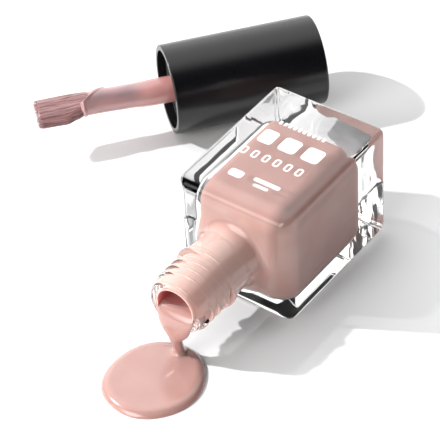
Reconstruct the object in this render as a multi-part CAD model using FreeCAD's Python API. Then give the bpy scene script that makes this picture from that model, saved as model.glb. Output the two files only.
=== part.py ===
import FreeCAD, Part
import math
import os

from FreeCAD import Vector

# Square clear-glass nail polish bottle, lying open on its back with its cap and brush beside it.
#
# Units are millimetres. Row frame: the origin is the centre of the face the bottle lies on, +Z is
# up, and +Y runs from the mouth to the base. The bottle and the cap are each built upright about
# their own axis and then laid down:
#   bottle frame: z = 0 at the base, z up to the mouth, +y towards the printed front
#   cap frame:    z = 0 at the open rim, z up to the closed end, the brush hangs below z = 0

# ---- glass body ----
BODY_WIDTH = 28.0
BODY_DEPTH = 28.2
BODY_HEIGHT = 36.6
LONG_EDGE_ROUND = 1.5
BASE_EDGE_ROUND = 1.0
SHOULDER_ROUND = 3.0

# ---- glass neck, heights above the shoulder plane ----
NECK_HEIGHT = 19.8
NECK_FOOT_RADIUS = 6.9
NECK_FOOT_ROUND = 3.3
BEAD_HEIGHT = 8.8
BEAD_RADIUS = 7.6
BEAD_HALF_WIDTH = 0.65
BEAD_FAR_HALF_WIDTH = 0.9
THREAD_ROOT_RADIUS = 6.45
THREAD_CREST_RADIUS = 7.1
THREAD_PITCH = 2.12
THREAD_START = 10.9
THREAD_TURNS = 3.2
THREAD_START_ANGLE = 270.0
THREAD_HALF_WIDTH = 0.72
THREAD_SINK = 0.15
LIP_ROUND = 0.7
BORE_RADIUS = 4.6
BORE_MOUTH_ROUND = 0.45

# ---- hollow of the body ----
CAVITY_WIDTH = 21.8
CAVITY_DEPTH = 22.0
BASE_THICKNESS = 7.5
SHOULDER_THICKNESS = 2.6
CAVITY_ROUND = 3.5
BORE_FLARE = 1.6

# ---- polish ----
FILM_THICKNESS = 0.25
POLISH_LEVEL = 13.3
TONGUE_RADIUS = 3.8
TONGUE_CENTRE_HEIGHT = 9.3
TONGUE_SETBACK = 1.9
PUDDLE_CENTRE = (-0.25, -46.1)
PUDDLE_HALF_LENGTH = 11.3
PUDDLE_HALF_WIDTH = 10.4
PUDDLE_THICKNESS = 1.4
PUDDLE_EDGE_WIDTH = 2.2
# The stream from the lip down to the puddle: height, radius, distance in front of the mouth.
STREAM_STATIONS = [
    (8.6, 3.3, 0.2),
    (7.2, 2.6, 0.5),
    (5.4, 1.55, 0.5),
    (3.6, 1.25, 0.2),
    (2.0, 1.7, -0.2),
    (0.4, 3.2, -0.6),
]

# ---- printed marks on the front: ink thickness and rows along the bottle ----
INK = 0.04
TITLE_BLOCKS = [(-5.0, 3.6), (0.5, 4.2), (6.3, 4.2)]
TITLE_HEIGHT = 4.4
TITLE_CORNER = 0.9
TITLE_ROW = 2.7
SUBTITLE_COUNT = 6
SUBTITLE_PITCH = 2.75
SUBTITLE_SIZE = (1.5, 2.4)
SUBTITLE_CORNER = 0.6
SUBTITLE_LINE = 0.4
SUBTITLE_ROW = -3.3
FOOTER_COUNT = 10
FOOTER_PITCH = 1.2
FOOTER_SIZE = (0.75, 1.1)
FOOTER_CORNER = 0.2
FOOTER_ROW = 8.0
# The emblem's plain marks: across, ahead of its row, width, height, corner radius.
EMBLEM_ROW = -10.4
EMBLEM_MARKS = [(-3.9, 0.0, 3.4, 2.2, 0.7), (3.4, 0.6, 6.4, 1.1, 0.4), (2.9, -1.0, 3.6, 0.8, 0.3)]

# ---- cap and its threaded insert ----
CAP_RADIUS = 10.3
CAP_LENGTH = 35.5
CAP_WALL = 1.25
CAP_END_THICKNESS = 1.6
CAP_END_ROUND = 0.6
CAP_RIM_ROUND = 0.2
CAP_RIB_COUNT = 6
CAP_RIB_THICKNESS = 1.0
CAP_RIB_DEPTH = 3.2
INSERT_RECESS = 2.0
INSERT_CLEARANCE = 0.05
INSERT_ROOF_THICKNESS = 1.6
INSERT_THREAD_CLEARANCE = 0.2
INSERT_RELIEF_RADIUS = 7.5
INSERT_LEAD_IN = 0.6
INSERT_RELIEF_DEPTH = 1.2
INSERT_BEAD_ROOM = 1.6
SEATED_GAP = 3.0

# ---- liner, stem and brush ----
LINER_THICKNESS = 0.75
LINER_RADIUS = 7.2
LINER_GAP = 0.12
LINER_STEM_GAP = 0.08
STEM_TOP_RADIUS = 2.8
STEM_END_RADIUS = 2.05
STEM_REACH = 17.5
STEM_COLLAR_RADIUS = 4.3
STEM_COLLAR_LENGTH = 1.0
STEM_HEAD_RADIUS = 4.4
STEM_HEAD_LENGTH = 1.4
SOCKET_RADIUS = 1.5
SOCKET_DEPTH = 4.2
COAT_THICKNESS = 0.18
COAT_RIM_RADIUS = 2.75
COAT_RIM_LENGTH = 1.2
COAT_TOP = 9.0
STAPLE_SIZE = (3.5, 0.4, 1.5)
STAPLE_DEPTH = 0.5
TUFT_ROOT_GAP = 0.25
TUFT_NEAR_RADIUS = 2.0
TUFT_NECK_HALF_WIDTH = 1.85
TUFT_NECK_SINK = 0.3
TUFT_MIDDLE_HALF_WIDTH = 3.7
TUFT_MIDDLE_HALF_THICKNESS = 1.5
BRUSH_REACH = 30.8
BRUSH_TIP_HALF_WIDTH = 3.95
BRUSH_TIP_HALF_THICKNESS = 1.25
BRUSH_TIP_ROUND = 0.6
BRUSH_TURN = -67.0

# ---- where the cap lies ----
CAP_RIM_CENTRE = (-46.9, 21.4)
CAP_HEADING = 51.2

# ---- modelling allowances: how far joined solids run into each other, and how close is touching ----
OVERLAP = 1.0
TOUCHING = 0.01

# Worked out from the driving dimensions.
SHOULDER_Z = BODY_HEIGHT
MOUTH_Z = BODY_HEIGHT + NECK_HEIGHT
AXIS_HEIGHT = BODY_DEPTH / 2
FRONT_HEIGHT = BODY_DEPTH
BASE_Y = BODY_HEIGHT / 2
MOUTH_Y = BASE_Y - MOUTH_Z
CAP_INNER_RADIUS = CAP_RADIUS - CAP_WALL
INSERT_RADIUS = CAP_INNER_RADIUS - INSERT_CLEARANCE
LIP_IN_CAP = NECK_HEIGHT - SEATED_GAP
INSERT_CEILING = LIP_IN_CAP + LINER_THICKNESS + 2 * LINER_GAP
INSERT_TOP = INSERT_CEILING + INSERT_ROOF_THICKNESS
INSERT_BORE_RADIUS = THREAD_ROOT_RADIUS + INSERT_THREAD_CLEARANCE
INSERT_GROOVE_RADIUS = THREAD_CREST_RADIUS + INSERT_THREAD_CLEARANCE
HINGE_Z = -(STEM_REACH + TUFT_ROOT_GAP + TUFT_NEAR_RADIUS)


def upright_to_row(shape):
    """Lay a shape of the bottle frame down on its back, mouth towards -Y."""
    placed = shape.copy()
    placed.rotate(Vector(0, 0, 0), Vector(1, 0, 0), 90)
    placed.translate(Vector(0, BASE_Y, AXIS_HEIGHT))
    return placed


def cap_to_row(shape):
    """Lay a shape of the cap frame down beside the bottle, closed end along CAP_HEADING."""
    placed = shape.copy()
    placed.rotate(Vector(0, 0, 0), Vector(0, 0, 1), BRUSH_TURN)
    placed.rotate(Vector(0, 0, 0), Vector(0, 1, 0), 90)
    placed.rotate(Vector(0, 0, 0), Vector(0, 0, 1), CAP_HEADING)
    placed.translate(Vector(CAP_RIM_CENTRE[0], CAP_RIM_CENTRE[1], CAP_RADIUS))
    return placed


def line(start, end):
    return Part.LineSegment(Vector(*start), Vector(*end)).toShape()


def arc(start, middle, end):
    return Part.Arc(Vector(*start), Vector(*middle), Vector(*end)).toShape()


def corner_middle(centre, radius, degrees):
    """Point on a circle in the x-z plane."""
    angle = math.radians(degrees)
    return (centre[0] + radius * math.cos(angle), 0, centre[1] + radius * math.sin(angle))


def turned(edges):
    """Revolve a closed x-z outline about the z axis."""
    face = Part.Face(Part.Wire(edges))
    return face.revolve(Vector(0, 0, 0), Vector(0, 0, 1), 360)


def centred_box(width, depth, low, high):
    return Part.makeBox(width, depth, high - low, Vector(-width / 2, -depth / 2, low))


def edges_where(shape, test):
    """Edges whose centre passes the test."""
    return [edge for edge in shape.Edges if test(edge.CenterOfMass)]


def upright_edges(shape):
    """Edges whose two ends are at different heights."""
    return [edge for edge in shape.Edges
            if abs(edge.Vertexes[0].Z - edge.Vertexes[-1].Z) > INK / 2]


# ---------------------------------------------------------------- glass bottle

def glass_body():
    """Solid square block: the shoulder is rounded first, and the long edges run on over it."""
    block = centred_box(BODY_WIDTH, BODY_DEPTH, 0, BODY_HEIGHT)
    shoulder = edges_where(block, lambda c: c.z > BODY_HEIGHT - TOUCHING)
    block = block.makeFillet(SHOULDER_ROUND, shoulder)
    block = block.makeFillet(LONG_EDGE_ROUND, edges_where(block, is_on_long_edge))
    base = edges_where(block, lambda c: c.z < TOUCHING)
    return block.makeFillet(BASE_EDGE_ROUND, base)


def is_on_long_edge(centre):
    return (abs(centre.x) > BODY_WIDTH / 2 - TOUCHING
            and abs(centre.y) > BODY_DEPTH / 2 - TOUCHING)


def neck_outside():
    """Neck turned about the axis: concave foot, bead, thread root cylinder and rounded lip."""
    foot_end = NECK_FOOT_RADIUS + NECK_FOOT_ROUND
    foot_centre = (foot_end, SHOULDER_Z + NECK_FOOT_ROUND)
    bead = SHOULDER_Z + BEAD_HEIGHT
    sunk = SHOULDER_Z - SHOULDER_THICKNESS / 2
    lip_centre = (THREAD_ROOT_RADIUS - LIP_ROUND, MOUTH_Z - LIP_ROUND)
    return turned([
        line((0, 0, sunk), (foot_end, 0, sunk)),
        line((foot_end, 0, sunk), (foot_end, 0, SHOULDER_Z)),
        arc((foot_end, 0, SHOULDER_Z), corner_middle(foot_centre, NECK_FOOT_ROUND, 225),
            (NECK_FOOT_RADIUS, 0, SHOULDER_Z + NECK_FOOT_ROUND)),
        line((NECK_FOOT_RADIUS, 0, SHOULDER_Z + NECK_FOOT_ROUND),
             (NECK_FOOT_RADIUS, 0, bead - BEAD_HALF_WIDTH)),
        arc((NECK_FOOT_RADIUS, 0, bead - BEAD_HALF_WIDTH), (BEAD_RADIUS, 0, bead),
            (THREAD_ROOT_RADIUS, 0, bead + BEAD_FAR_HALF_WIDTH)),
        line((THREAD_ROOT_RADIUS, 0, bead + BEAD_FAR_HALF_WIDTH),
             (THREAD_ROOT_RADIUS, 0, MOUTH_Z - LIP_ROUND)),
        arc((THREAD_ROOT_RADIUS, 0, MOUTH_Z - LIP_ROUND), corner_middle(lip_centre, LIP_ROUND, 45),
            (THREAD_ROOT_RADIUS - LIP_ROUND, 0, MOUTH_Z)),
        line((THREAD_ROOT_RADIUS - LIP_ROUND, 0, MOUTH_Z), (0, 0, MOUTH_Z)),
        line((0, 0, MOUTH_Z), (0, 0, sunk)),
    ])


def helix_ridge(root, crest, half_width, start, turns):
    """Rounded ridge wound about the axis, sunk a little into the cylinder it stands on."""
    helix = Part.makeHelix(THREAD_PITCH, THREAD_PITCH * turns, root)
    low = (root - THREAD_SINK, 0, -half_width)
    high = (root - THREAD_SINK, 0, half_width)
    profile = Part.Wire([arc(low, (crest, 0, 0), high), line(high, low)])
    ridge = Part.Wire(helix.Edges).makePipeShell([profile], True, True)
    ridge.translate(Vector(0, 0, start))
    ridge.rotate(Vector(0, 0, 0), Vector(0, 0, 1), THREAD_START_ANGLE)
    return ridge


def neck_thread():
    return helix_ridge(THREAD_ROOT_RADIUS, THREAD_CREST_RADIUS, THREAD_HALF_WIDTH,
                       SHOULDER_Z + THREAD_START, THREAD_TURNS)


def hollow(inset):
    """Inside of the bottle, cavity and bore, made smaller by inset all over."""
    top = SHOULDER_Z - SHOULDER_THICKNESS - inset
    radius = BORE_RADIUS - inset
    cavity = centred_box(CAVITY_WIDTH - 2 * inset, CAVITY_DEPTH - 2 * inset,
                         BASE_THICKNESS + inset, top)
    cavity = cavity.makeFillet(CAVITY_ROUND - inset, cavity.Edges)
    flare_centre = (radius + BORE_FLARE, top + BORE_FLARE)
    bore = turned([
        line((0, 0, top - OVERLAP), (radius + BORE_FLARE, 0, top - OVERLAP)),
        line((radius + BORE_FLARE, 0, top - OVERLAP), (radius + BORE_FLARE, 0, top)),
        arc((radius + BORE_FLARE, 0, top), corner_middle(flare_centre, BORE_FLARE, 225),
            (radius, 0, top + BORE_FLARE)),
        line((radius, 0, top + BORE_FLARE), (radius, 0, MOUTH_Z)),
        line((radius, 0, MOUTH_Z), (0, 0, MOUTH_Z)),
        line((0, 0, MOUTH_Z), (0, 0, top - OVERLAP)),
    ])
    return cavity.fuse(bore)


def mouth_chamfer():
    """Ring that rounds the inner edge of the mouth off."""
    return Part.makeCone(BORE_RADIUS, BORE_RADIUS + BORE_MOUTH_ROUND, BORE_MOUTH_ROUND,
                         Vector(0, 0, MOUTH_Z - BORE_MOUTH_ROUND))


def glass_bottle():
    outside = glass_body().fuse(neck_outside()).fuse(neck_thread())
    return upright_to_row(outside.cut(hollow(0)).cut(mouth_chamfer()).removeSplitter())


# ---------------------------------------------------------------- polish

def polish_fill():
    """Pool up to POLISH_LEVEL and a film on every wall above it."""
    liquid = upright_to_row(hollow(0))
    air = upright_to_row(hollow(FILM_THICKNESS))
    above = Part.makeBox(2 * BODY_WIDTH, 4 * BODY_HEIGHT, BODY_DEPTH,
                         Vector(-BODY_WIDTH, -2 * BODY_HEIGHT, POLISH_LEVEL))
    return liquid.cut(air.common(above))


def polish_puddle():
    """Flat oval puddle whose edge curves down from its level top to the table."""
    flat_end = PUDDLE_HALF_LENGTH - PUDDLE_EDGE_WIDTH
    edge_radius = (PUDDLE_EDGE_WIDTH ** 2 + PUDDLE_THICKNESS ** 2) / (2 * PUDDLE_THICKNESS)
    edge_centre = (flat_end, PUDDLE_THICKNESS - edge_radius)
    contact_angle = math.degrees(math.asin(PUDDLE_EDGE_WIDTH / edge_radius))
    disc = turned([
        line((0, 0, 0), (PUDDLE_HALF_LENGTH, 0, 0)),
        arc((PUDDLE_HALF_LENGTH, 0, 0),
            corner_middle(edge_centre, edge_radius, 90 - contact_angle / 2),
            (flat_end, 0, PUDDLE_THICKNESS)),
        line((flat_end, 0, PUDDLE_THICKNESS), (0, 0, PUDDLE_THICKNESS)),
        line((0, 0, PUDDLE_THICKNESS), (0, 0, 0)),
    ])
    squeeze = FreeCAD.Matrix()
    squeeze.A11 = PUDDLE_HALF_WIDTH / PUDDLE_HALF_LENGTH
    puddle = disc.transformGeometry(squeeze)
    puddle.translate(Vector(PUDDLE_CENTRE[0], PUDDLE_CENTRE[1], 0))
    return puddle


def polish_stream(glass, fill, puddle):
    """Tongue of polish over the lower lip, running down in a waisted stream to the puddle."""
    rings = []
    for height, radius, ahead in STREAM_STATIONS:
        circle = Part.makeCircle(radius, Vector(0, MOUTH_Y - ahead, height), Vector(0, 0, 1))
        rings.append(Part.Wire(circle))
    fall = Part.makeLoft(rings, True, False)
    tongue = Part.makeSphere(TONGUE_RADIUS,
                             Vector(0, MOUTH_Y + TONGUE_SETBACK, TONGUE_CENTRE_HEIGHT))
    stream = tongue.fuse(fall).cut(glass).cut(fill).cut(puddle).cut(bore_space())
    return max(stream.Solids, key=lambda solid: solid.Volume)


def bore_space():
    """Space just inside the mouth, which belongs to the pool and the air above it."""
    return upright_to_row(Part.makeCylinder(BORE_RADIUS, NECK_HEIGHT,
                                            Vector(0, 0, MOUTH_Z - NECK_HEIGHT)))


# ---------------------------------------------------------------- printed marks

def ink_block(x, y, width, height, corner):
    """Rounded flat mark of ink standing on the front face."""
    low = Vector(x - width / 2, y - height / 2, FRONT_HEIGHT)
    block = Part.makeBox(width, height, INK, low)
    return block.makeFillet(corner, upright_edges(block))


def ink_frame(x, y, width, height, corner, stroke):
    """Outline of a rounded mark."""
    inner = ink_block(x, y, width - 2 * stroke, height - 2 * stroke, corner - stroke)
    return ink_block(x, y, width, height, corner).cut(inner)


def print_title():
    return Part.makeCompound([ink_block(x, TITLE_ROW, width, TITLE_HEIGHT, TITLE_CORNER)
                              for x, width in TITLE_BLOCKS])


def print_subtitle():
    first = -SUBTITLE_PITCH * (SUBTITLE_COUNT - 1) / 2
    width, height = SUBTITLE_SIZE
    return Part.makeCompound([
        ink_frame(first + i * SUBTITLE_PITCH, SUBTITLE_ROW, width, height, SUBTITLE_CORNER,
                  SUBTITLE_LINE)
        for i in range(SUBTITLE_COUNT)])


def print_footer():
    first = -FOOTER_PITCH * (FOOTER_COUNT - 1) / 2
    width, height = FOOTER_SIZE
    return Part.makeCompound([
        ink_block(first + i * FOOTER_PITCH, FOOTER_ROW, width, height, FOOTER_CORNER)
        for i in range(FOOTER_COUNT)])


def print_emblem():
    """Small plain marks near the shoulder."""
    return Part.makeCompound([ink_block(x, EMBLEM_ROW + ahead, width, height, corner)
                              for x, ahead, width, height, corner in EMBLEM_MARKS])


# ---------------------------------------------------------------- cap

def cap_shell():
    """Plain round overcap with ribs inside that stop the insert."""
    end_centre = (CAP_RADIUS - CAP_END_ROUND, CAP_LENGTH - CAP_END_ROUND)
    rim_centre = (CAP_RADIUS - CAP_RIM_ROUND, CAP_RIM_ROUND)
    inner_end = CAP_LENGTH - CAP_END_THICKNESS
    shell = turned([
        line((CAP_INNER_RADIUS, 0, 0), (CAP_RADIUS - CAP_RIM_ROUND, 0, 0)),
        arc((CAP_RADIUS - CAP_RIM_ROUND, 0, 0), corner_middle(rim_centre, CAP_RIM_ROUND, -45),
            (CAP_RADIUS, 0, CAP_RIM_ROUND)),
        line((CAP_RADIUS, 0, CAP_RIM_ROUND), (CAP_RADIUS, 0, CAP_LENGTH - CAP_END_ROUND)),
        arc((CAP_RADIUS, 0, CAP_LENGTH - CAP_END_ROUND),
            corner_middle(end_centre, CAP_END_ROUND, 45),
            (CAP_RADIUS - CAP_END_ROUND, 0, CAP_LENGTH)),
        line((CAP_RADIUS - CAP_END_ROUND, 0, CAP_LENGTH), (0, 0, CAP_LENGTH)),
        line((0, 0, CAP_LENGTH), (0, 0, inner_end)),
        line((0, 0, inner_end), (CAP_INNER_RADIUS, 0, inner_end)),
        line((CAP_INNER_RADIUS, 0, inner_end), (CAP_INNER_RADIUS, 0, 0)),
    ])
    for i in range(CAP_RIB_COUNT):
        shell = shell.fuse(cap_rib(360.0 * i / CAP_RIB_COUNT))
    return cap_to_row(shell.removeSplitter())


def cap_rib(angle):
    """One inner rib, from the insert's top to the closed end."""
    sink = CAP_WALL / 2
    rib = Part.makeBox(CAP_RIB_DEPTH + sink, CAP_RIB_THICKNESS,
                       CAP_LENGTH - CAP_END_THICKNESS / 2 - INSERT_TOP,
                       Vector(CAP_INNER_RADIUS - CAP_RIB_DEPTH, -CAP_RIB_THICKNESS / 2, INSERT_TOP))
    rib.rotate(Vector(0, 0, 0), Vector(0, 0, 1), angle)
    return rib


def insert_groove():
    """Helical groove that takes the neck's thread, in phase with the seated cap.

    It starts a turn nearer the rim than the seated thread, so that the thread can leave.
    """
    return helix_ridge(INSERT_BORE_RADIUS, INSERT_GROOVE_RADIUS,
                       THREAD_HALF_WIDTH + INSERT_THREAD_CLEARANCE / 2,
                       THREAD_START - SEATED_GAP - THREAD_PITCH, THREAD_TURNS + 1)


def cap_insert():
    """Threaded inner cap with a roof that carries the stem."""
    tube = Part.makeCylinder(INSERT_RADIUS, INSERT_TOP - INSERT_RECESS, Vector(0, 0, INSERT_RECESS))
    bore = Part.makeCylinder(INSERT_BORE_RADIUS, INSERT_CEILING - INSERT_RECESS,
                             Vector(0, 0, INSERT_RECESS))
    relief_start = LIP_IN_CAP - INSERT_RELIEF_DEPTH
    relief = Part.makeCylinder(INSERT_RELIEF_RADIUS, INSERT_CEILING - relief_start,
                               Vector(0, 0, relief_start))
    bead_room = Part.makeCylinder(BEAD_RADIUS + INSERT_THREAD_CLEARANCE,
                                  BEAD_HEIGHT + INSERT_BEAD_ROOM - SEATED_GAP - INSERT_RECESS,
                                  Vector(0, 0, INSERT_RECESS))
    lead_in = Part.makeCone(BEAD_RADIUS + INSERT_THREAD_CLEARANCE + INSERT_LEAD_IN,
                            BEAD_RADIUS + INSERT_THREAD_CLEARANCE, INSERT_LEAD_IN,
                            Vector(0, 0, INSERT_RECESS))
    stem_hole = Part.makeCylinder(STEM_TOP_RADIUS, INSERT_ROOF_THICKNESS,
                                  Vector(0, 0, INSERT_CEILING))
    insert = tube.cut(bore).cut(relief).cut(bead_room).cut(lead_in).cut(stem_hole)
    return cap_to_row(insert.cut(insert_groove()).removeSplitter())


def cap_liner():
    """Soft sealing washer, loose between the insert's roof and the collar of the stem."""
    low = LIP_IN_CAP + LINER_GAP
    disc = Part.makeCylinder(LINER_RADIUS, LINER_THICKNESS, Vector(0, 0, low))
    hole = Part.makeCylinder(STEM_TOP_RADIUS + LINER_STEM_GAP, LINER_THICKNESS, Vector(0, 0, low))
    return cap_to_row(disc.cut(hole))


def bare_stem():
    """Shaft and upper stem without head, collar or socket."""
    shaft = Part.makeCone(STEM_END_RADIUS, STEM_TOP_RADIUS, STEM_REACH, Vector(0, 0, -STEM_REACH))
    return shaft.fuse(Part.makeCylinder(STEM_TOP_RADIUS, INSERT_TOP))


def brush_stem():
    """Tapered stem with a head above the roof, a collar under the liner and a socket at its end."""
    head = Part.makeCylinder(STEM_HEAD_RADIUS, STEM_HEAD_LENGTH, Vector(0, 0, INSERT_TOP))
    collar = Part.makeCylinder(STEM_COLLAR_RADIUS, STEM_COLLAR_LENGTH,
                               Vector(0, 0, LIP_IN_CAP - STEM_COLLAR_LENGTH))
    stem = bare_stem().fuse(head).fuse(collar)
    return cap_to_row(stem.cut(tuft_socket()).cut(staple_blade()).removeSplitter())


def tuft_socket():
    return Part.makeCylinder(SOCKET_RADIUS, SOCKET_DEPTH, Vector(0, 0, -STEM_REACH))


def staple_blade():
    """Flat metal anchor pressed across the socket over the fold of the tuft."""
    width, thickness, height = STAPLE_SIZE
    return Part.makeBox(width, thickness, height,
                        Vector(-width / 2, -thickness / 2,
                               SOCKET_DEPTH - STEM_REACH - height - STAPLE_DEPTH))


def tuft_staple():
    return cap_to_row(staple_blade())


def tuft_root():
    """Folded end of the filaments, gripped in the socket."""
    return cap_to_row(tuft_socket().cut(staple_blade()))


def stem_polish_coat():
    """Wet polish on the stem, from inside the cap down to a raised rim at the stem's tip."""
    sleeve = Part.makeCone(STEM_END_RADIUS + COAT_THICKNESS, STEM_TOP_RADIUS + COAT_THICKNESS,
                           STEM_REACH, Vector(0, 0, -STEM_REACH))
    upper = Part.makeCylinder(STEM_TOP_RADIUS + COAT_THICKNESS, COAT_TOP)
    rim_centre = Vector(0, 0, COAT_RIM_LENGTH / 2 - STEM_REACH)
    rim = Part.makeTorus(COAT_RIM_RADIUS - COAT_RIM_LENGTH / 2, COAT_RIM_LENGTH / 2, rim_centre,
                         Vector(0, 0, 1))
    return cap_to_row(sleeve.fuse(upper).fuse(rim).cut(bare_stem()).removeSplitter())


def bristle_tuft():
    """Free end of the tuft: round and domed at the stem, fanned flat at the tip."""
    dome = Part.makeSphere(TUFT_NEAR_RADIUS, Vector(0, 0, HINGE_Z))
    near = ellipse_ring(TUFT_NECK_HALF_WIDTH, TUFT_NECK_HALF_WIDTH, HINGE_Z + TUFT_NECK_SINK)
    middle = ellipse_ring(TUFT_MIDDLE_HALF_WIDTH, TUFT_MIDDLE_HALF_THICKNESS,
                          (HINGE_Z - BRUSH_REACH) / 2)
    tip = ellipse_ring(BRUSH_TIP_HALF_WIDTH, BRUSH_TIP_HALF_THICKNESS,
                       BRUSH_TIP_ROUND - BRUSH_REACH)
    end = ellipse_ring(BRUSH_TIP_HALF_WIDTH - BRUSH_TIP_ROUND,
                       BRUSH_TIP_HALF_THICKNESS - BRUSH_TIP_ROUND, -BRUSH_REACH)
    fan = Part.makeLoft([near, middle, tip, end], True, True)
    return cap_to_row(dome.fuse(fan))


def ellipse_ring(half_width, half_thickness, height):
    ellipse = Part.Ellipse(Vector(0, 0, height), half_width, half_thickness)
    return Part.Wire(ellipse.toShape())


# ---------------------------------------------------------------- output

def build():
    glass = glass_bottle()
    fill = polish_fill()
    puddle = polish_puddle()
    return {
        "glass_bottle": glass,
        "polish_fill": fill,
        "polish_puddle": puddle,
        "polish_stream": polish_stream(glass, fill, puddle),
        "print_title": print_title(),
        "print_subtitle": print_subtitle(),
        "print_footer": print_footer(),
        "print_emblem": print_emblem(),
        "cap_shell": cap_shell(),
        "cap_insert": cap_insert(),
        "cap_liner": cap_liner(),
        "brush_stem": brush_stem(),
        "stem_polish_coat": stem_polish_coat(),
        "tuft_staple": tuft_staple(),
        "tuft_root": tuft_root(),
        "bristle_tuft": bristle_tuft(),
    }


def main():
    os.makedirs("parts", exist_ok=True)
    for name, shape in build().items():
        print(name, "solids", len(shape.Solids), "volume", round(shape.Volume, 2),
              "valid", shape.isValid())
        shape.exportStep(f"parts/{name}.step")


main()
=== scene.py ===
"""Square nail polish bottle lying open on its back, with its cap and brush beside it.

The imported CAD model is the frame. The liquid polish, the wet coat on the stem and the bristles are
built here; the glass, the cap, its insert, the liner, the stem and the printed marks are CAD nodes
with finished materials. Lengths below are in millimetres unless a name says otherwise.
"""
import math
import random

import bmesh
import bpy
from mathutils import Matrix, Vector, noise


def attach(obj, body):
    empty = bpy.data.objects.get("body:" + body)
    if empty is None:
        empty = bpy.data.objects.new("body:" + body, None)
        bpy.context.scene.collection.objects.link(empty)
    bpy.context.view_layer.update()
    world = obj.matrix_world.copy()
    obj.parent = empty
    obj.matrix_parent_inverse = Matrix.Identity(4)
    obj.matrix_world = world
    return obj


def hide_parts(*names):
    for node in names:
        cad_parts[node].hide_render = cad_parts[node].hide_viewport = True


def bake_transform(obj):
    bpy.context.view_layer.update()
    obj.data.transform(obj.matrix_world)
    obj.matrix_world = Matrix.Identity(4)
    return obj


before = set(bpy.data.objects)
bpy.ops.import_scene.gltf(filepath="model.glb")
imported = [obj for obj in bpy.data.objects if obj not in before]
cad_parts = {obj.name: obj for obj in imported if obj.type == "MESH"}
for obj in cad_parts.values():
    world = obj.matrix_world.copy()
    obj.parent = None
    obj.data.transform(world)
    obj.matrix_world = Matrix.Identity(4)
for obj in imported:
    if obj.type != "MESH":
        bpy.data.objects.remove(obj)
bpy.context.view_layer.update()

MM = 0.001

# ---- bottle, row frame ----
AXIS_HEIGHT = 14.1
MOUTH_Y = -38.1
BORE_RADIUS = 4.6
POLISH_LEVEL = 13.3

# ---- cap frame: rim centre, direction to the closed end, wide direction of the brush ----
CAP_RIM = Vector((-46.9, 21.4, 10.3))
CAP_AXIS = Vector((0.6266, 0.7793, 0.0)).normalized()
BRUSH_WIDE = Vector((0.7174, -0.5768, -0.3907)).normalized()
BRUSH_THIN = CAP_AXIS.cross(BRUSH_WIDE)
# The thick run of the coat lies on the side of the stem that faces away from COAT_DOWN.
COAT_DOWN = Vector((0.447, -0.3594, -0.8192)).normalized()
COAT_NEAR = CAP_AXIS.cross(COAT_DOWN)
CAP_HEADING = math.atan2(CAP_AXIS.y, CAP_AXIS.x)

# ---- glass: height of its waves, and the share of light that gets in or out of it ----
BASE_INSIDE_Y = 9.0
BASE_OUTSIDE_Y = 14.0
GLASS_WAVE_BODY = 0.02
GLASS_WAVE_BASE = 0.32
GLASS_SHADE_IN = (0.16, 0.16, 0.165, 1.0)
GLASS_SHADE_UNDER = (0.78, 0.78, 0.785, 1.0)
GLASS_SHADE_OUT = (0.90, 0.90, 0.90, 1.0)
GLASS_UNDER_HEIGHT = 0.8

# ---- polish colours, linear ----
POLISH_DEEP = (0.475, 0.270, 0.240, 1.0)
POLISH_LIGHT = (0.530, 0.318, 0.282, 1.0)
WALL_DEEP = (0.430, 0.240, 0.213, 1.0)
WALL_LIGHT = (0.530, 0.325, 0.290, 1.0)
# Painted light: the polish in the neck is coloured lighter, for the light the round neck gathers
# onto it.
NECK_PAINTED_LIGHT = (0.740, 0.480, 0.425, 1.0)
NECK_PAINTED_LIGHT_RUN = (-22.0, -12.0)
# Painted shade: the film round the air space is coloured darker and redder for the shade in the
# hollow; the pool's level takes the deep one for the lip's shadow.
SHADED_FILM_DEEP = (0.500, 0.185, 0.180, 1.0)
SHADED_FILM_LIGHT = (0.580, 0.240, 0.230, 1.0)
# The edge of the lip's shadow on the pool runs across this heading, between these two places.
SHADE_HEADING = (-0.56, 1.0, 0.0)
SHADE_RUN = (-35.7, -35.2)
COAT_DARK = (0.31, 0.205, 0.218, 1.0)
COAT_LIGHT = (0.68, 0.355, 0.325, 1.0)
# Near the cap the coat is thicker and redder; the places lie along the cap's axis.
COAT_THICK = (0.560, 0.245, 0.232, 1.0)
COAT_THICK_RUN = (-21.5, -14.5)
COAT_THICK_SHARE = 0.7
# Random streaks on the wet bristles: the dark colour is painted shade for the gaps between
# filaments, the light one painted light on their crests.
STREAK_PAINTED_SHADE = (0.18, 0.095, 0.098, 1.0)
STREAK_PAINTED_LIGHT = (0.47, 0.240, 0.238, 1.0)


# ---------------------------------------------------------------- node helpers

# A noise field seldom leaves these two values.
NOISE_LOW = 0.3
NOISE_HIGH = 0.7


def new_material(name):
    mat = bpy.data.materials.new(name)
    mat.use_nodes = True
    return mat, mat.node_tree, mat.node_tree.nodes["Principled BSDF"]


def add_node(tree, kind, **sockets):
    made = tree.nodes.new(kind)
    for name, value in sockets.items():
        made.inputs[name.replace("_", " ")].default_value = value
    return made


def noise_field(tree, scale, detail=3.0, stretch=(1.0, 1.0, 1.0), heading=0.0):
    """Noise in the piece's own space, drawn out by the stretch factors, the first along heading."""
    coord = tree.nodes.new("ShaderNodeTexCoord")
    mapping = add_node(tree, "ShaderNodeMapping", Scale=stretch, Rotation=(0.0, 0.0, heading))
    mapping.vector_type = "TEXTURE"
    field = add_node(tree, "ShaderNodeTexNoise", Scale=scale, Detail=detail)
    tree.links.new(coord.outputs["Object"], mapping.inputs["Vector"])
    tree.links.new(mapping.outputs["Vector"], field.inputs["Vector"])
    return field.outputs["Fac"]


def spread(tree, field, low, high):
    """Map the useful part of a noise field to low..high."""
    made = add_node(tree, "ShaderNodeMapRange")
    made.inputs["From Min"].default_value = NOISE_LOW
    made.inputs["From Max"].default_value = NOISE_HIGH
    made.inputs["To Min"].default_value = low
    made.inputs["To Max"].default_value = high
    tree.links.new(field, made.inputs["Value"])
    return made.outputs["Result"]


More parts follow.
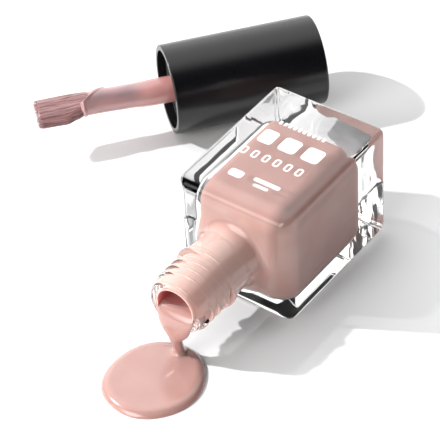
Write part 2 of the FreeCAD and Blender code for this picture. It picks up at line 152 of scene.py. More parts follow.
def ramp_along(tree, heading, places_mm, values):
    """Value that runs between two places along a heading in the row frame."""
    coord = tree.nodes.new("ShaderNodeTexCoord")
    along = tree.nodes.new("ShaderNodeVectorMath")
    along.operation = "DOT_PRODUCT"
    along.inputs[1].default_value = heading
    tree.links.new(coord.outputs["Object"], along.inputs[0])
    ramp = add_node(tree, "ShaderNodeMapRange")
    ramp.inputs["From Min"].default_value = places_mm[0] * MM
    ramp.inputs["From Max"].default_value = places_mm[1] * MM
    ramp.inputs["To Min"].default_value, ramp.inputs["To Max"].default_value = values
    tree.links.new(along.outputs["Value"], ramp.inputs["Value"])
    return ramp.outputs["Result"]


def blend_colours(tree, factor, first, second):
    made = tree.nodes.new("ShaderNodeMix")
    made.data_type = "RGBA"
    made.inputs["A"].default_value = first
    made.inputs["B"].default_value = second
    tree.links.new(factor, made.inputs["Factor"])
    return made.outputs["Result"]


def turn_colour(tree, shader, factor, colour):
    """Blend the colour already set on a shader towards another one."""
    own = shader.inputs["Base Color"].links[0].from_socket
    mixed = blend_colours(tree, factor, colour, colour)
    tree.links.new(own, mixed.node.inputs["A"])
    tree.links.new(mixed, shader.inputs["Base Color"])


def add_bump(tree, shader, field, height_mm, strength=1.0):
    made = add_node(tree, "ShaderNodeBump", Strength=strength, Distance=height_mm * MM)
    tree.links.new(field, made.inputs["Height"])
    tree.links.new(made.outputs["Normal"], shader.inputs["Normal"])


# ---------------------------------------------------------------- materials

def pass_light(tree, shader, colour, diffuse_too=True):
    """Let shadow rays, and diffuse rays if asked, go straight through, tinted by colour."""
    path = tree.nodes.new("ShaderNodeLightPath")
    factor = path.outputs["Is Shadow Ray"]
    if diffuse_too:
        either = tree.nodes.new("ShaderNodeMath")
        either.operation = "MAXIMUM"
        tree.links.new(path.outputs["Is Shadow Ray"], either.inputs[0])
        tree.links.new(path.outputs["Is Diffuse Ray"], either.inputs[1])
        factor = either.outputs["Value"]
    clear = tree.nodes.new("ShaderNodeBsdfTransparent")
    tree.links.new(colour, clear.inputs["Color"])
    mixer = tree.nodes.new("ShaderNodeMixShader")
    tree.links.new(factor, mixer.inputs["Fac"])
    tree.links.new(shader.outputs["BSDF"], mixer.inputs[1])
    tree.links.new(clear.outputs["BSDF"], mixer.inputs[2])
    tree.links.new(mixer.outputs["Shader"], tree.nodes["Material Output"].inputs["Surface"])


def glass_material():
    """Clear flint glass, a little wavy, most of all in its thick base.

    Lamps reach the polish behind it, but little light goes right through onto the floor.
    """
    mat, tree, shader = new_material("flint_glass")
    shader.inputs["Base Color"].default_value = (0.985, 0.995, 0.990, 1.0)
    shader.inputs["Transmission Weight"].default_value = 1.0
    shader.inputs["IOR"].default_value = 1.5
    ripple = noise_field(tree, 260.0, 1.0)
    tree.links.new(spread(tree, ripple, 0.0, 0.008), shader.inputs["Roughness"])

    in_base = ramp_along(tree, (0, 1, 0), (BASE_INSIDE_Y, BASE_OUTSIDE_Y),
                         (GLASS_WAVE_BODY, GLASS_WAVE_BASE))
    waves = tree.nodes.new("ShaderNodeMath")
    waves.operation = "MULTIPLY"
    tree.links.new(noise_field(tree, 150.0, 1.0), waves.inputs[0])
    tree.links.new(in_base, waves.inputs[1])
    add_bump(tree, shader, waves.outputs["Value"], 1.0)

    above = ramp_along(tree, (0, 0, 1), (GLASS_UNDER_HEIGHT, GLASS_UNDER_HEIGHT + 1.0), (0.0, 1.0))
    entering = blend_colours(tree, above, GLASS_SHADE_UNDER, GLASS_SHADE_IN)
    side = tree.nodes.new("ShaderNodeNewGeometry")
    tint = blend_colours(tree, side.outputs["Backfacing"], GLASS_SHADE_IN, GLASS_SHADE_OUT)
    tree.links.new(entering, tint.node.inputs["A"])
    pass_light(tree, shader, tint)
    return mat


def polish_base(name, deep, light):
    """Creamy lacquer in which light spreads a little; returns its node tree and shader."""
    mat, tree, shader = new_material(name)
    cloud = noise_field(tree, 140.0, 2.0)
    colour = blend_colours(tree, spread(tree, cloud, 0.2, 0.8), deep, light)
    tree.links.new(colour, shader.inputs["Base Color"])
    shader.inputs["Subsurface Weight"].default_value = 0.5
    shader.inputs["Subsurface Radius"].default_value = (1.0, 0.45, 0.38)
    shader.inputs["Subsurface Scale"].default_value = 1.2 * MM
    return mat, tree, shader


def wet_polish(name):
    """Polish with a free, glossy surface."""
    mat, tree, shader = polish_base(name, POLISH_DEEP, POLISH_LIGHT)
    shader.inputs["Coat Weight"].default_value = 1.0
    shader.inputs["Coat Roughness"].default_value = 0.03
    shader.inputs["Coat IOR"].default_value = 1.5
    shader.inputs["Specular IOR Level"].default_value = 0.3
    tree.links.new(spread(tree, noise_field(tree, 900.0), 0.16, 0.24), shader.inputs["Roughness"])
    add_bump(tree, shader, noise_field(tree, 350.0, 1.0), 0.02, 0.25)
    return mat, tree, shader


def level_polish_material():
    """The pool's free level, as deep red as the film where the lip keeps the light off it."""
    mat, tree, shader = wet_polish("polish_level")
    turn_colour(tree, shader, ramp_along(tree, SHADE_HEADING, SHADE_RUN, (0.0, 1.0)), SHADED_FILM_DEEP)
    return mat


def plain_polish(name, deep, light):
    mat, tree, shader = polish_base(name, deep, light)
    shader.inputs["Specular IOR Level"].default_value = 0.0
    tree.links.new(spread(tree, noise_field(tree, 900.0), 0.6, 0.8), shader.inputs["Roughness"])
    return mat, tree, shader


def wall_polish_material():
    """Polish against the glass, with painted light in the neck: coloured lighter there for the light
    its round wall gathers onto the polish.
    """
    mat, tree, shader = plain_polish("polish_behind_glass", WALL_DEEP, WALL_LIGHT)
    turn_colour(tree, shader, ramp_along(tree, (0, 1, 0), NECK_PAINTED_LIGHT_RUN, (1.0, 0.0)), NECK_PAINTED_LIGHT)
    return mat


def shaded_film_polish_material():
    """The thin film round the air space, in painted shade: darker and redder than the polish against
    the glass, for the shade inside the hollow.
    """
    return plain_polish("polish_film_painted_shade", SHADED_FILM_DEEP, SHADED_FILM_LIGHT)[0]


def cap_material():
    """Black moulded plastic with a fine satin texture."""
    mat, tree, shader = new_material("satin_black_plastic")
    grain = noise_field(tree, 9000.0, 2.0)
    cloud = noise_field(tree, 120.0, 2.0)
    tree.links.new(blend_colours(tree, cloud, (0.002, 0.002, 0.003, 1), (0.005, 0.005, 0.006, 1)),
                   shader.inputs["Base Color"])
    tree.links.new(spread(tree, grain, 0.22, 0.28), shader.inputs["Roughness"])
    add_bump(tree, shader, grain, 0.01, 0.08)
    return mat


def insert_material():
    mat, tree, shader = new_material("black_insert_plastic")
    grain = noise_field(tree, 2500.0, 2.0)
    tree.links.new(blend_colours(tree, grain, (0.008, 0.008, 0.009, 1), (0.016, 0.016, 0.018, 1)),
                   shader.inputs["Base Color"])
    tree.links.new(spread(tree, grain, 0.22, 0.34), shader.inputs["Roughness"])
    add_bump(tree, shader, grain, 0.01, 0.3)
    return mat


def ink_material():
    """White screen ink with a slightly uneven surface; thin enough to throw only a faint shadow."""
    mat, tree, shader = new_material("white_screen_ink")
    grain = noise_field(tree, 5000.0, 2.0)
    tree.links.new(blend_colours(tree, grain, (0.86, 0.86, 0.86, 1), (0.95, 0.95, 0.95, 1)),
                   shader.inputs["Base Color"])
    tree.links.new(spread(tree, grain, 0.35, 0.5), shader.inputs["Roughness"])
    add_bump(tree, shader, grain, 0.005, 0.4)
    thin = blend_colours(tree, grain, (0.66, 0.64, 0.63, 1), (0.72, 0.70, 0.69, 1))
    pass_light(tree, shader, thin, diffuse_too=False)
    return mat


def foam_material():
    mat, tree, shader = new_material("liner_foam")
    cells = noise_field(tree, 6000.0, 3.0)
    tree.links.new(blend_colours(tree, cells, (0.72, 0.72, 0.70, 1), (0.86, 0.86, 0.84, 1)),
                   shader.inputs["Base Color"])
    tree.links.new(spread(tree, cells, 0.7, 0.9), shader.inputs["Roughness"])
    add_bump(tree, shader, cells, 0.05, 0.6)
    return mat


def stem_material():
    mat, tree, shader = new_material("stem_plastic")
    grain = noise_field(tree, 3000.0, 2.0)
    tree.links.new(blend_colours(tree, grain, (0.010, 0.010, 0.011, 1), (0.020, 0.020, 0.021, 1)),
                   shader.inputs["Base Color"])
    tree.links.new(spread(tree, grain, 0.25, 0.38), shader.inputs["Roughness"])
    add_bump(tree, shader, grain, 0.01, 0.3)
    return mat


def staple_material():
    mat, tree, shader = new_material("staple_metal")
    scratches = noise_field(tree, 4000.0, 2.0, (10.0, 1.0, 1.0), CAP_HEADING)
    shader.inputs["Metallic"].default_value = 1.0
    tree.links.new(blend_colours(tree, scratches, (0.62, 0.60, 0.56, 1), (0.75, 0.73, 0.70, 1)),
                   shader.inputs["Base Color"])
    tree.links.new(spread(tree, scratches, 0.2, 0.4), shader.inputs["Roughness"])
    return mat


def filament_material():
    """Nylon filaments wet with polish, in random streaks along them: the darker ones are painted
    shade for the gaps, the lighter ones painted light on the crests.
    """
    mat, tree, shader = new_material("wet_filament")
    streak = noise_field(tree, 2200.0, 2.0, (9.0, 1.0, 1.0), CAP_HEADING)
    tree.links.new(blend_colours(tree, spread(tree, streak, 0.0, 1.0), STREAK_PAINTED_SHADE, STREAK_PAINTED_LIGHT),
                   shader.inputs["Base Color"])
    tree.links.new(spread(tree, streak, 0.2, 0.35), shader.inputs["Roughness"])
    shader.inputs["Coat Weight"].default_value = 0.6
    shader.inputs["Coat Roughness"].default_value = 0.1
    return mat


def coat_material(name, scale, stretch, dark, light):
    """Thin wet polish on the brush, streaked along it, redder where it is thick near the cap."""
    mat, tree, shader = new_material(name)
    streak = noise_field(tree, scale, 2.0, (stretch, 1.0, 1.0), CAP_HEADING)
    tree.links.new(blend_colours(tree, spread(tree, streak, 0.0, 1.0), dark, light),
                   shader.inputs["Base Color"])
    thick = ramp_along(tree, CAP_AXIS, COAT_THICK_RUN, (0.0, COAT_THICK_SHARE))
    turn_colour(tree, shader, thick, COAT_THICK)
    tree.links.new(spread(tree, streak, 0.25, 0.15), shader.inputs["Roughness"])
    shader.inputs["Coat Weight"].default_value = 0.8
    shader.inputs["Coat Roughness"].default_value = 0.06
    return mat


def floor_material():
    mat, tree, shader = new_material("pale_floor")
    cloud = noise_field(tree, 12.0, 2.0)
    tree.links.new(blend_colours(tree, cloud, (0.88, 0.88, 0.885, 1), (0.90, 0.90, 0.90, 1)),
                   shader.inputs["Base Color"])
    shader.inputs["Roughness"].default_value = 0.6
    shader.inputs["Specular IOR Level"].default_value = 0.1
    return mat


# ---------------------------------------------------------------- mesh helpers

def skin_loops(mesh, loops):
    """Join each closed loop of vertices to the next one with quads."""
    count = len(loops[0])
    for near, far in zip(loops, loops[1:]):
        for i in range(count):
            j = (i + 1) % count
            mesh.faces.new((near[i], near[j], far[j], far[i]))


def piece_from_rings(name, rings, materials):
    """Skin a list of closed rings of equal length, given in millimetres, and close both ends."""
    mesh = bmesh.new()
    loops = [[mesh.verts.new(point * MM) for point in ring] for ring in rings]
    skin_loops(mesh, loops)
    for loop in (loops[0], loops[-1]):
        centre = mesh.verts.new(sum((v.co for v in loop), Vector()) / len(loop))
        for i, vertex in enumerate(loop):
            mesh.faces.new((vertex, loop[(i + 1) % len(loop)], centre))
    bmesh.ops.recalc_face_normals(mesh, faces=mesh.faces)
    return finish_mesh(name, mesh, materials)


def finish_mesh(name, mesh, materials):
    data = bpy.data.meshes.new(name)
    mesh.to_mesh(data)
    mesh.free()
    for material in materials:
        data.materials.append(material)
    for face in data.polygons:
        face.use_smooth = True
    made = bpy.data.objects.new(name, data)
    bpy.context.scene.collection.objects.link(made)
    return made


def smooth_step(t):
    t = min(max(t, 0.0), 1.0)
    return t * t * (3 - 2 * t)


def through_stations(stations, steps):
    """Smooth in-between rows of a table, by Catmull-Rom, with steps rows to each interval."""
    rows = []
    last = len(stations) - 1
    for k in range(last):
        a, b = stations[max(k - 1, 0)], stations[k]
        c, d = stations[k + 1], stations[min(k + 2, last)]
        for i in range(steps):
            t = i / steps
            rows.append([0.5 * (2 * q + (r - p) * t + (2 * p - 5 * q + 4 * r - s) * t ** 2
                                + (3 * q - p - 3 * r + s) * t ** 3)
                         for p, q, r, s in zip(a, b, c, d)])
    rows.append(list(stations[-1]))
    return rows


# ---------------------------------------------------------------- polish inside the glass

SKIN_INTO_GLASS = 0.035
# On the left wall and underneath, a hair of air parts the polish from the glass and mirrors.
WALL_GAP = 0.05
GAP_LEFT_FACING = -0.35
GAP_DOWN_FACING = -0.6
GAP_REACH = 2.0
CAVITY_FLOOR = 3.1
# The air space lies round a line along Y, between these two places.
AIR_LINE = (-10.0, 5.0)
UPRIGHT = 0.9
LEVEL_TOLERANCE = 0.2
WELD_DISTANCE = 0.002
# Next to the mouth the level slopes down under the tongue that runs out over the lip.
SLOPE_RUN = 1.5
SLOPE_DROP = 1.2
MOUTH_TOLERANCE = 0.1


def parted_from_glass(vertex):
    place = vertex.co / MM
    on_left = place.x < -BORE_RADIUS - GAP_REACH and vertex.normal.x < GAP_LEFT_FACING
    underneath = place.z < CAVITY_FLOOR + GAP_REACH and vertex.normal.z < GAP_DOWN_FACING
    return on_left or underneath


def slope_level_to_mouth(mesh):
    everything = mesh.verts[:] + mesh.edges[:] + mesh.faces[:]
    start = Vector((0, MOUTH_Y + SLOPE_RUN, 0)) * MM
    bmesh.ops.bisect_plane(mesh, geom=everything, plane_co=start, plane_no=(0, 1, 0))
    for vertex in mesh.verts:
        place = vertex.co / MM
        at_mouth = place.y < MOUTH_Y + MOUTH_TOLERANCE
        if at_mouth and abs(place.z - POLISH_LEVEL) < MOUTH_TOLERANCE:
            vertex.co.z -= SLOPE_DROP * MM


def polish_body(wall_material, level_material, shaded_film_material):
    """The pool and the film, a hair larger than the hollow so that no two faces coincide."""
    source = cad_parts["polish_fill"]
    mesh = bmesh.new()
    mesh.from_mesh(source.data)
    bmesh.ops.remove_doubles(mesh, verts=mesh.verts, dist=WELD_DISTANCE * MM)
    mesh.normal_update()
    moved = []
    for vertex in mesh.verts:
        shift = -WALL_GAP if parted_from_glass(vertex) else SKIN_INTO_GLASS
        moved.append((vertex, vertex.co + vertex.normal * shift * MM))
    for vertex, place in moved:
        vertex.co = place
    mesh.normal_update()
    for face in mesh.faces:
        middle = face.calc_center_median() / MM
        inner = Vector((0, min(max(middle.y, AIR_LINE[0]), AIR_LINE[1]), AXIS_HEIGHT))
        # Faces that look into the air space take the film in painted shade (slot 2).
        faces_air = face.normal.dot(middle - inner) < 0
        is_level = face.normal.z > UPRIGHT and abs(middle.z - POLISH_LEVEL) < LEVEL_TOLERANCE
        if is_level:
            face.material_index = 1
        else:
            face.material_index = 2 if faces_air else 0
    slope_level_to_mouth(mesh)
    made = finish_mesh("polish_in_bottle", mesh, [wall_material, level_material, shaded_film_material])
    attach(made, "bottle")
    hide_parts("polish_fill")
    return made


# ---------------------------------------------------------------- pour: tongue, stream, puddle

RING_POINTS = 96
# Sections of the pour from inside the bore, over the lip and down to the puddle:
# distance before the mouth (-Y), height, tilt of the section in degrees, half width,
# reach on the free side, reach on the glass side, squareness of the free side.
POUR_SECTIONS = [
    (-2.4, 13.05, 0, 4.56, 0.12, 3.55, 3.6),
    (-1.3, 13.05, 0, 4.56, 0.28, 3.55, 3.2),
    (-0.4, 12.60, 8, 4.52, 0.42, 3.00, 2.8),
    (0.15, 11.70, 28, 4.45, 0.62, 2.10, 2.5),
    (0.45, 10.60, 52, 4.20, 0.75, 1.10, 2.3),
    (0.60, 9.30, 72, 3.80, 0.80, 0.80, 2.2),
    (0.62, 8.00, 84, 3.20, 0.85, 0.85, 2.1),
    (0.55, 6.90, 90, 2.35, 0.95, 0.95, 2.0),
    (0.45, 6.00, 90, 1.65, 1.10, 1.10, 2.0),
    (0.30, 5.10, 90, 1.32, 1.15, 1.15, 2.0),
    (0.10, 4.20, 90, 1.22, 1.15, 1.15, 2.0),
    (-0.10, 3.30, 90, 1.22, 1.15, 1.15, 2.0),
    (-0.25, 2.50, 90, 1.28, 1.20, 1.20, 2.0),
    (-0.32, 1.95, 90, 1.42, 1.34, 1.34, 2.0),
    (-0.36, 1.62, 90, 1.70, 1.62, 1.62, 2.0),
]
PUDDLE_CENTRE = Vector((-0.25, -46.1, 0.0))
PUDDLE_HALF_WIDTH = 10.35
PUDDLE_HALF_LENGTH = 11.25
PUDDLE_TURN = math.radians(-5.0)
PUDDLE_THICKNESS = 1.4
PUDDLE_EDGE = 2.4
PUDDLE_RINGS = 26
# The edge wanders by these shares of the puddle's size, three and five times round.
WANDER_WIDE = 0.012
WANDER_FINE = 0.008
# The stream's foot sinks into the puddle over a short way, and the rings crowd near it.
FOOT_SINK = 9.0
RING_CROWDING = 1.6
EDGE_RINGS = 12
EDGE_FULLNESS = 2.4
EDGE_STEEPNESS = 0.7


def pour_section(row):
    """One ring across the flow. The free side faces up in the bore and -Y in the fall."""
    ahead, height, tilt, half_width, free, back, square = row
    angle = math.radians(tilt)
    centre = Vector((0.0, MOUTH_Y - ahead, height))
    out = Vector((0.0, -math.sin(angle), math.cos(angle)))
    ring = []
    for i in range(RING_POINTS):
        turn = 2 * math.pi * i / RING_POINTS
        c, s = math.cos(turn), math.sin(turn)
        reach, power = (free, 2 / square) if s > 0 else (back, 1.0)
        across = math.copysign(abs(c) ** power, c) * half_width
        outward = math.copysign(abs(s) ** power, s) * reach
        ring.append(centre + Vector((across, 0, 0)) + out * outward)
    return ring


def puddle_outline(i):
    """Point i of the puddle's slightly uneven oval edge, in step with the stream's ring."""
    turn = 2 * math.pi * i / RING_POINTS
    wander = 1 + WANDER_WIDE * math.sin(3 * turn + 0.6) + WANDER_FINE * math.sin(5 * turn + 2.0)
    x = PUDDLE_HALF_WIDTH * math.cos(turn) * wander
    y = -PUDDLE_HALF_LENGTH * math.sin(turn) * wander
    turned = Vector((x * math.cos(PUDDLE_TURN) - y * math.sin(PUDDLE_TURN),
                     x * math.sin(PUDDLE_TURN) + y * math.cos(PUDDLE_TURN), 0))
    return PUDDLE_CENTRE + turned


def puddle_rings(foot):
    """Rings from the stream's foot out over the level top, and down the rounded edge."""
    outline = [puddle_outline(i) for i in range(RING_POINTS)]
    inner_edge = []
    for i, point in enumerate(outline):
        inward = (PUDDLE_CENTRE - point).normalized()
        inner_edge.append(point + inward * PUDDLE_EDGE)
    rings = []
    foot_rise = foot[0].z - PUDDLE_THICKNESS
    for k in range(1, PUDDLE_RINGS + 1):
        t = k / PUDDLE_RINGS
        ease = t ** RING_CROWDING
        rise = foot_rise * math.exp(-FOOT_SINK * t) * (1 - t)
        ring = []
        for start, end in zip(foot, inner_edge):
            flat = start.lerp(end, ease)
            ring.append(Vector((flat.x, flat.y, PUDDLE_THICKNESS + rise)))
        rings.append(ring)
    for k in range(1, EDGE_RINGS + 1):
        u = math.sin(0.5 * math.pi * k / EDGE_RINGS)
        height = PUDDLE_THICKNESS * (1 - u ** EDGE_FULLNESS) ** EDGE_STEEPNESS
        rings.append([Vector((*a.lerp(b, u).xy, height)) for a, b in zip(inner_edge, outline)])
    return rings


def polish_pour(material):
    """Tongue over the lower lip, waisted stream and puddle, as one unbroken surface."""
    rings = [pour_section(row) for row in through_stations(POUR_SECTIONS, 5)]
    rings += puddle_rings(rings[-1])
    made = piece_from_rings("polish_pour", rings, [material])
    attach(made, "bottle")
    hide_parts("polish_stream", "polish_puddle")
    return made


# ---------------------------------------------------------------- stem coat and bristles

STEM_END = 17.5
STEM_TOP_RADIUS = 2.8
STEM_END_RADIUS = 2.05
# The coat starts inside the cap, over COAT_FADE_IN; it is a little uneven and swells near the rim.
COAT_START = -9.0
COAT_FADE_IN = 2.0
COAT_LEAST = 0.01
COAT_END = 20.3
COAT_POINTS = 96
COAT_RINGS = 150
COAT_THICKNESS = 0.14
COAT_UNEVENNESS = 0.10
SWELL_HEIGHT = 0.22
SWELL_DEPTH = 3.0
SWELL_LENGTH = 4.0
# Its thick run fills the stem's taper up to this radius.
COAT_CROWN = 3.45
RUN_NARROWING = 1.5
# The raised lip starts on the upper side and falls away along the brush.
LIP_TOP_DEPTH = 14.4
LIP_SLANT = 5.2
LIP_FALL = 0.50
LIP_HANG = 0.1
LIP_HEIGHT = 0.26
LIP_WIDTH = 0.36
# Past the lip the coat closes onto the tuft and sinks into it.
LIP_BACK_START = 0.1
LIP_BACK_LENGTH = 1.1
SINK_SHARE = 0.12
SINK_LENGTH = 1.5
BRISTLE_ROOT = 17.7
BRISTLE_TIP = 30.7
# Edges of the fanned tuft: depth below the rim, reach on the upper side, reach on the lower side.
TUFT_EDGES = [
    (15.0, 2.95, 1.65),
    (17.0, 3.30, 1.65),
    (19.0, 3.65, 1.95),
    (21.5, 3.85, 2.95),
    (24.0, 3.95, 3.70),
    (28.0, 3.95, 3.55),
    (31.5, 3.90, 3.40),
]
TUFT_ROOT_HALF_THICKNESS = 1.9
TUFT_TIP_HALF_THICKNESS = 1.15
TUFT_THIN_RUN = 4.0
# Filaments fill the outer part of the tuft, from an inner share of its section.
FILAMENT_COUNT = 420
FILAMENT_INNER_SHARE = 0.45
FILAMENT_FILL = 0.985
FILAMENT_SWAY = 0.08
FILAMENT_RADIUS = 0.06
FILAMENT_TAPER_START = 0.85
FILAMENT_TAPER = 0.75
FILAMENT_STEPS = 12
FILAMENT_SIDES = 5
TIP_SHORT = 0.05
TIP_CROWN = 0.25
TIP_RAGGED = 0.22
TIP_RAGGED_MOST = 0.9
SEED = 7


def cap_point(across, through, depth):
    """A point of the cap frame: along the brush's width, its thickness, and below the rim."""
    return CAP_RIM + BRUSH_WIDE * across + BRUSH_THIN * through - CAP_AXIS * depth


def bump_curve(x, width):
    return math.exp(-(x / width) ** 2)


def lip_depth(across):
    """Where the slanted lip of the coat runs, from the upper edge (-1) to the lower edge (1)."""
    fallen = min((across + 1.0) / LIP_FALL, 1.0)
    slant = LIP_SLANT * math.sqrt(max(fallen, 0.0))
    return LIP_TOP_DEPTH + slant - LIP_HANG * max(across, 0.0)


def coat_radius(turn, depth):
    """Stem, plus a thin uneven coat, a thick run along the upper side and the slanted lip."""
    along = min(max(depth, 0.0), STEM_END) / STEM_END
    bare = STEM_TOP_RADIUS + (STEM_END_RADIUS - STEM_TOP_RADIUS) * along
    upper = max(0.0, -math.cos(turn)) ** RUN_NARROWING
    uneven = noise.noise(Vector((math.cos(turn), math.sin(turn), depth * 0.25)))
    coat = COAT_THICKNESS + COAT_UNEVENNESS * uneven
    near_cap = SWELL_HEIGHT * bump_curve(depth - SWELL_DEPTH, SWELL_LENGTH)
    run = upper * along * max(0.0, COAT_CROWN - bare - coat - near_cap)
    lip = LIP_HEIGHT * bump_curve(depth - lip_depth(math.cos(turn)), LIP_WIDTH)
    return bare + coat + near_cap + run + lip


def stem_coat(material):
    """Wet polish on the stem, with a raised slanted lip, closing onto the bristles."""
    rings = []
    for k in range(COAT_RINGS + 1):
        depth = COAT_START + (COAT_END - COAT_START) * k / COAT_RINGS
        start = smooth_step((depth - COAT_START) / COAT_FADE_IN)
        ring = []
        for i in range(COAT_POINTS):
            turn = 2 * math.pi * i / COAT_POINTS
            out = COAT_DOWN * math.cos(turn) + COAT_NEAR * math.sin(turn)
            behind = depth - lip_depth(math.cos(turn)) - LIP_BACK_START
            past_lip = smooth_step(behind / LIP_BACK_LENGTH)
            radius = coat_radius(turn, depth) * (1 - past_lip)
            on_tuft = 1.0 - SINK_SHARE * smooth_step((depth - BRISTLE_ROOT) / SINK_LENGTH)
            radius += on_tuft * tuft_radius(out, depth) * past_lip
            radius = radius * start + (STEM_TOP_RADIUS + COAT_LEAST) * (1 - start)
            ring.append(CAP_RIM + out * radius - CAP_AXIS * depth)
        rings.append(ring)
    made = piece_from_rings("stem_wet_coat", rings, [material])
    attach(made, "cap")
    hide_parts("stem_polish_coat")
    return made


def tuft_radius(out, depth):
    """Radius of the tuft in a direction square to the stem."""
    across, through = out.dot(BRUSH_WIDE), out.dot(BRUSH_THIN)
    wide, thin = tuft_reach(across, depth)
    return 1 / math.hypot(across / wide, through / thin)


def tuft_reach(across, depth):
    """Half width on this side of the brush, and half thickness, at a depth below the rim."""
    rows = TUFT_EDGES
    k = 0
    while k < len(rows) - 2 and depth > rows[k + 1][0]:
        k += 1
    t = smooth_step((depth - rows[k][0]) / (rows[k + 1][0] - rows[k][0]))
    column = 1 if across < 0 else 2
    wide = rows[k][column] + (rows[k + 1][column] - rows[k][column]) * t
    fan = smooth_step((depth - BRISTLE_ROOT) / (BRISTLE_TIP - TUFT_THIN_RUN - BRISTLE_ROOT))
    thin = TUFT_ROOT_HALF_THICKNESS + (TUFT_TIP_HALF_THICKNESS - TUFT_ROOT_HALF_THICKNESS) * fan
    return wide, thin


def filaments(material):
    """Single nylon filaments, fanned flat, with a slightly ragged tip."""
    draw = random.Random(SEED)
    mesh = bmesh.new()
    for _ in range(FILAMENT_COUNT):
        turn = draw.uniform(0, 2 * math.pi)
        place = math.sqrt(draw.uniform(FILAMENT_INNER_SHARE, 1.0)) * FILAMENT_FILL
        a, b = place * math.cos(turn), place * math.sin(turn)
        ragged = min(abs(draw.gauss(0, TIP_RAGGED)), TIP_RAGGED_MOST)
        reach = BRISTLE_TIP - TIP_SHORT - TIP_CROWN * a * a - ragged
        phase = draw.uniform(0, 2 * math.pi)
        sway = draw.uniform(0.0, FILAMENT_SWAY)
        loops = []
        for k in range(FILAMENT_STEPS + 1):
            t = k / FILAMENT_STEPS
            depth = BRISTLE_ROOT + (reach - BRISTLE_ROOT) * t
            wide, thin = tuft_reach(a, depth)
            side = a * wide + sway * t * math.sin(4 * t + phase)
            through = b * thin + 0.5 * sway * t * math.cos(5 * t + phase)
            near_tip = max(0.0, (t - FILAMENT_TAPER_START) / (1 - FILAMENT_TAPER_START))
            radius = FILAMENT_RADIUS * (1 - FILAMENT_TAPER * near_tip)
            loop = []
            for i in range(FILAMENT_SIDES):
                spin = 2 * math.pi * i / FILAMENT_SIDES
                point = cap_point(side + radius * math.cos(spin),
                                  through + radius * math.sin(spin), depth)
                loop.append(mesh.verts.new(point * MM))
            loops.append(loop)
        skin_loops(mesh, loops)
        mesh.faces.new(loops[0])
        mesh.faces.new(list(reversed(loops[-1])))
    bmesh.ops.recalc_face_normals(mesh, faces=mesh.faces)
    return finish_mesh("bristle_filaments", mesh, [material])


MASS_POINTS = 160
MASS_RINGS = 56
MASS_SHORT = 0.45
MASS_CROWN = 0.3
MASS_RAGGED = 0.25
MASS_FILL = 0.965
MASS_CLOSING = 0.95
MASS_LEAST = 0.02
RIDGE_HEIGHT = 0.035
COMB_HEIGHT = 0.022
COMB_TEETH = 31
COMB_AT_ROOT = 0.2


def bristle_polish(material):
    """Polish held between the filaments, combed into ridges along the brush."""
    rings = []
    for k in range(MASS_RINGS + 1):
        t = k / MASS_RINGS
        ring = []
        for i in range(MASS_POINTS):
            turn = 2 * math.pi * i / MASS_POINTS
            a, b = math.cos(turn), math.sin(turn)
            ragged = MASS_RAGGED * noise.noise(Vector((9 * a, 4 * b, 0)))
            reach = BRISTLE_TIP - MASS_SHORT - MASS_CROWN * a * a + ragged
            depth = BRISTLE_ROOT + (reach - BRISTLE_ROOT) * t
            wide, thin = tuft_reach(a, depth)
            ridge = RIDGE_HEIGHT * noise.noise(Vector((a * 9.0, b * 9.0, depth * 0.25)))
            lean = 4.0 * noise.noise(Vector((a, b, depth * 0.3)))
            comb = COMB_HEIGHT * math.sin(COMB_TEETH * turn + lean)
            combed = COMB_AT_ROOT + (1 - COMB_AT_ROOT) * t
            scale = MASS_FILL + (ridge + comb) * combed
            if t > MASS_CLOSING:
                past = (t - MASS_CLOSING) / (1 - MASS_CLOSING)
                scale *= math.sqrt(max(MASS_LEAST, 1 - past ** 2))
            ring.append(cap_point(a * wide * scale, b * thin * scale, depth))
        rings.append(ring)
    return piece_from_rings("bristle_polish", rings, [material])


def brush(filament, polish):
    hairs = filaments(filament)
    mass = bristle_polish(polish)
    for made, slot in ((hairs, "filament"), (mass, "polish")):
        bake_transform(made)
    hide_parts("bristle_tuft")


# ---------------------------------------------------------------- stage, lights, camera

FLOOR_SIZE = 0.9
FLOOR_GAP = 0.00005


def floor():
    bpy.ops.mesh.primitive_plane_add(size=FLOOR_SIZE, location=(0, 0, -FLOOR_GAP))
    made = bpy.context.object
    made.name = "floor"
    made.data.materials.append(floor_material())


def aim(lamp, position, target):
    direction = Vector(target) - Vector(position)
    lamp.location = position
    lamp.rotation_euler = direction.to_track_quat("-Z", "Y").to_euler()


# The key comes from this far to the left and to the front for each unit of height.
KEY_SLOPE = (1.09, 0.56)
KEY_STRENGTH = 3.2
KEY_ANGLE = 1.8
# Soft studio sky: a wide bright part overhead and behind, and a smaller one before the mouth.
SKY_DARK = (0.03, 0.03, 0.033, 1)
SKY_BRIGHT = (1.70, 1.70, 1.71, 1)
SKY_CENTRE = (-0.45, 0.55, 0.70)
SKY_REACH = (0.40, 0.94)
FRONT_BRIGHT = (6.0, 5.9, 5.8, 1)
FRONT_CENTRE = (-0.14, -0.88, 0.46)
FRONT_REACH = (0.895, 0.985)


def key_light():
    """Low hard key from the left, which throws the long shadows to the right."""
    data = bpy.data.lights.new("key", "SUN")
    data.energy = KEY_STRENGTH
    data.angle = math.radians(KEY_ANGLE)
    lamp = bpy.data.objects.new("key", data)
    bpy.context.scene.collection.objects.link(lamp)
    aim(lamp, (-KEY_SLOPE[0], -KEY_SLOPE[1], 1.0), (0, 0, 0))


def sky_patch(tree, direction, centre, reach):
    """How far a direction lies inside a soft-edged patch of sky, from 0 to 1."""
    toward = tree.nodes.new("ShaderNodeVectorMath")
    toward.operation = "DOT_PRODUCT"
    toward.inputs[1].default_value = Vector(centre).normalized()
    tree.links.new(direction, toward.inputs[0])
    ramp = add_node(tree, "ShaderNodeMapRange")
    ramp.interpolation_type = "SMOOTHSTEP"
    ramp.inputs["From Min"].default_value, ramp.inputs["From Max"].default_value = reach
    tree.links.new(toward.outputs["Value"], ramp.inputs["Value"])
    return ramp.outputs["Result"]


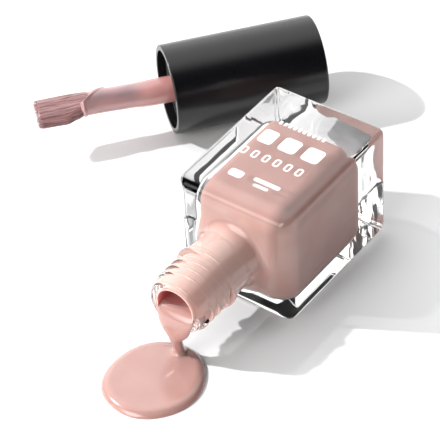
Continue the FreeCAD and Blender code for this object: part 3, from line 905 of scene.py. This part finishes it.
def studio():
    world = bpy.data.worlds.new("studio")
    world.use_nodes = True
    tree = world.node_tree
    direction = tree.nodes.new("ShaderNodeTexCoord").outputs["Generated"]
    overhead = sky_patch(tree, direction, SKY_CENTRE, SKY_REACH)
    sky = blend_colours(tree, overhead, SKY_DARK, SKY_BRIGHT)
    in_front = sky_patch(tree, direction, FRONT_CENTRE, FRONT_REACH)
    light = blend_colours(tree, in_front, SKY_BRIGHT, FRONT_BRIGHT)
    tree.links.new(sky, light.node.inputs["A"])
    tree.links.new(light, tree.nodes["Background"].inputs["Color"])
    bpy.context.scene.world = world
    key_light()


# Fit of the studio camera to the row frame, in millimetres and degrees.
CAMERA_PLACE = Vector((217.67, -298.29, 339.03))
CAMERA_YAW = -38.20
CAMERA_PITCH = 41.68
CAMERA_ROLL = -3.48
CAMERA_LENS = 190.325


def camera():
    yaw, pitch, roll = (math.radians(v) for v in (CAMERA_YAW, CAMERA_PITCH, CAMERA_ROLL))
    forward = Vector((math.sin(yaw) * math.cos(pitch), math.cos(yaw) * math.cos(pitch),
                      -math.sin(pitch)))
    right = Vector((math.cos(yaw), -math.sin(yaw), 0))
    up = right.cross(forward)
    turned_right = right * math.cos(roll) + up * math.sin(roll)
    turned_up = up * math.cos(roll) - right * math.sin(roll)
    data = bpy.data.cameras.new("camera")
    data.lens = CAMERA_LENS
    data.sensor_width = 36.0
    data.clip_end = 10.0
    made = bpy.data.objects.new("camera", data)
    bpy.context.scene.collection.objects.link(made)
    place = Matrix((turned_right, turned_up, -forward)).transposed().to_4x4()
    place.translation = CAMERA_PLACE * MM
    made.matrix_world = place
    bpy.context.scene.camera = made


# ---------------------------------------------------------------- build

def dress(node, material):
    """Give a CAD node its finished material."""
    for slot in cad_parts[node].material_slots:
        slot.material = material


def build():
    camera()
    studio()
    floor()
    wet = wet_polish("polish_wet")[0]
    ink = ink_material()
    dress("glass_bottle", glass_material())
    for node in ("print_title", "print_subtitle", "print_footer", "print_emblem"):
        dress(node, ink)
    dress("cap_shell", cap_material())
    dress("cap_insert", insert_material())
    dress("cap_liner", foam_material())
    dress("brush_stem", stem_material())
    dress("tuft_staple", staple_material())
    filament = filament_material()
    dress("tuft_root", filament)
    polish_body(wall_polish_material(), level_polish_material(), shaded_film_polish_material())
    polish_pour(wet)
    stem_coat(coat_material("coat_on_stem", 170.0, 2.0, COAT_DARK, COAT_LIGHT))
    # The coat on the bristles takes the same streaks of painted shade and painted light.
    brush(filament, coat_material("coat_on_bristles", 1500.0, 10.0, STREAK_PAINTED_SHADE, STREAK_PAINTED_LIGHT))
    bpy.context.scene.view_settings.view_transform = "Standard"


build()
